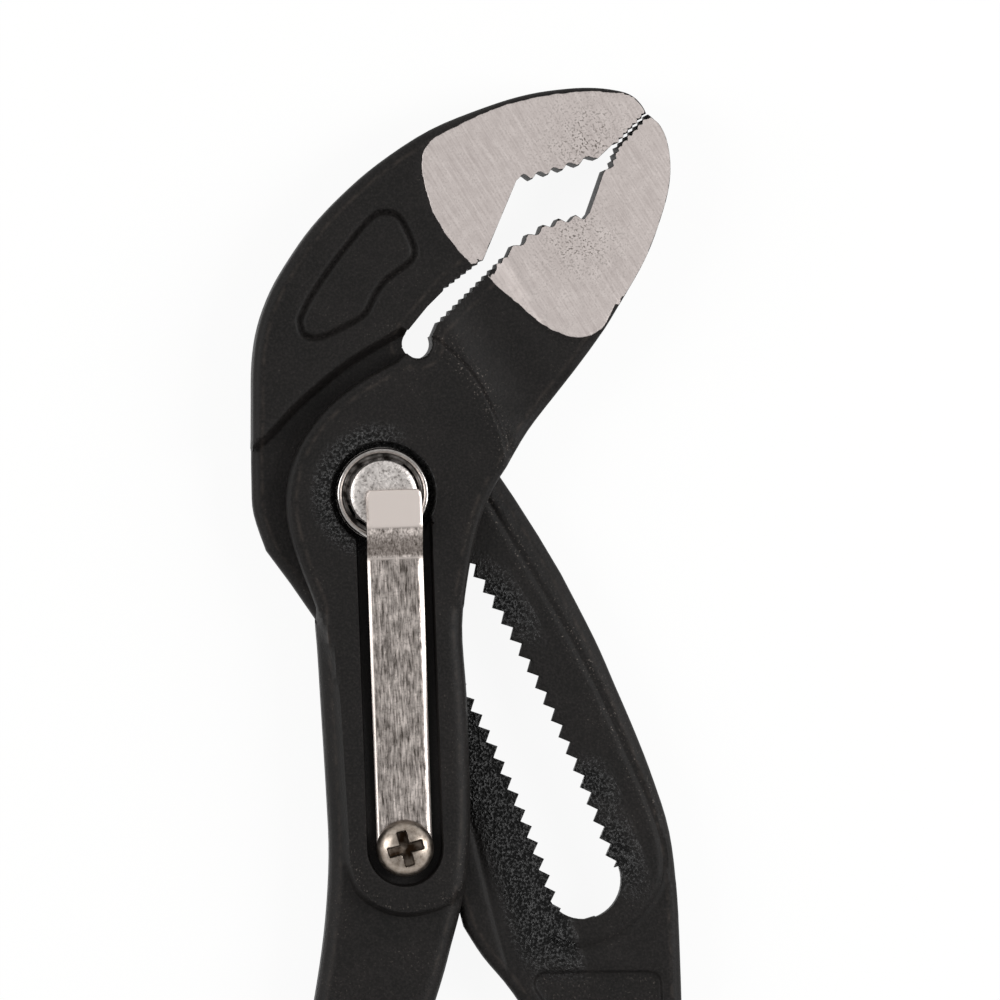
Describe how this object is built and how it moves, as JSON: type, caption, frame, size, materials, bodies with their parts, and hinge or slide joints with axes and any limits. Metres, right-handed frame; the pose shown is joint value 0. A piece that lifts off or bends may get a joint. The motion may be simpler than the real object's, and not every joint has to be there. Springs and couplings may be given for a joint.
{
  "type": "water pump pliers",
  "caption": "Box-joint water pump pliers with a toothed adjusting slot, a sprung locking bolt and scalloped pipe jaws.",
  "frame": {"origin": "on the pivot axis, at the back face that the tool rests on", "axes": "+X to the right-hand handle, +Y along the tool to the jaws, +Z out of the front face"},
  "size_m": [0.0725, 0.2503, 0.0162],
  "materials": {
    "black_forging": "black satin coat on a drop forging, jaw faces ground bare",
    "bright_ring": "polished steel",
    "satin_bolt": "satin turned steel",
    "spring_strip": "brushed spring steel strip",
    "nickel_screw": "nickel plated",
    "dipped_grip": "dipped soft plastic"
  },
  "bodies": {
    "inner_leg": {"inner_leg": "black_forging", "inner_grip": "dipped_grip"},
    "hinge_bush": {"hinge_bush": "bright_ring"},
    "outer_leg": {"outer_leg": "black_forging", "spring_screw": "nickel_screw", "outer_grip": "dipped_grip"},
    "lock_bolt": {"lock_bolt": "satin_bolt"},
    "leaf_spring": {"leaf_spring": "spring_strip"}
  },
  "joints": [
    {"name": "slot_adjust", "type": "hinge", "parent": "inner_leg", "child": "hinge_bush", "pos_m": [-0.15639, -0.11598, 0], "axis": [0, 0, 1], "range_deg": [-16.19, 0]},
    {"name": "jaw_pivot", "type": "hinge", "parent": "hinge_bush", "child": "outer_leg", "pos_m": [0, 0, 0], "axis": [0, 0, 1], "range_deg": [-30, 0]},
    {"name": "button_press", "type": "slide", "parent": "hinge_bush", "child": "lock_bolt", "axis": [0, 0, 1], "range_m": [-0.0021, 0], "stiffness_N_per_m": 800, "springref_m": -0.006},
    {"name": "leaf_flex", "type": "hinge", "parent": "outer_leg", "child": "leaf_spring", "pos_m": [0.0031, -0.0496, 0.0112], "axis": [0.9994, 0.0358, 0], "range_deg": [-2.68, 0]}
  ],
  "couplings": [
    {"joint": "leaf_flex", "follows": "button_press", "rad_per_m": 22.157}
  ]
}
